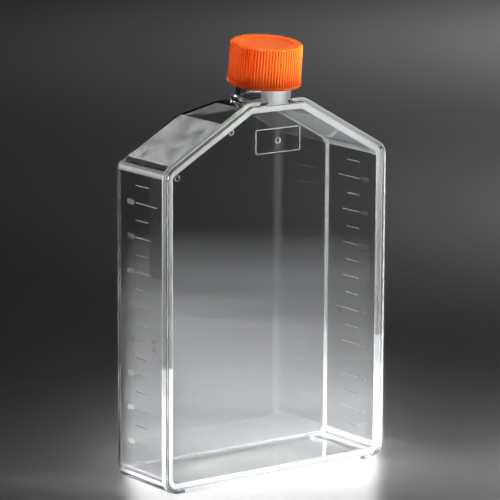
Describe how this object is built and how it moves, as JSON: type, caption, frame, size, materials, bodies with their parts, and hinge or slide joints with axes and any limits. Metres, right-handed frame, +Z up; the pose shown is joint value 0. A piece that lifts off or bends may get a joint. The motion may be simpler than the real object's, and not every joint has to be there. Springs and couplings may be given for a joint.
{
  "type": "cell culture flask",
  "caption": "Tall clear rectangular flask with sloping shoulders, welded cover plate, raised volume marks and a ribbed orange screw cap on a forward-leaning neck.",
  "frame": {"origin": "centre of the object's footprint box on the surface that the standing flask rests on", "axes": "+X across the flask to the right of a viewer facing the cover plate, +Y from the cover plate towards the growth wall, +Z up the standing flask towards the cap"},
  "size_m": [0.1396, 0.0552, 0.2262],
  "materials": {
    "clear_polystyrene": "clear, polished",
    "orange_polyethylene": "satin, slightly waxy",
    "white_foam": "matt closed-cell foam"
  },
  "bodies": {
    "flask": {"flask_body": "clear_polystyrene", "cover_plate": "clear_polystyrene"},
    "sealing_disc": {"cap_liner": "white_foam"},
    "cap": {"screw_cap": "orange_polyethylene"}
  },
  "joints": [
    {"name": "cap_lift", "type": "slide", "parent": "flask", "child": "sealing_disc", "axis": [0, -0.1045, 0.9945], "range_m": [0, 0.006]},
    {"name": "cap_turn", "type": "hinge", "parent": "sealing_disc", "child": "cap", "pos_m": [0, -0.00619, 0.1935], "axis": [0, -0.1045, 0.9945], "range_deg": [0, 540]}
  ],
  "couplings": [
    {"joint": "cap_lift", "follows": "cap_turn", "m_per_rad": 0.00063662}
  ]
}
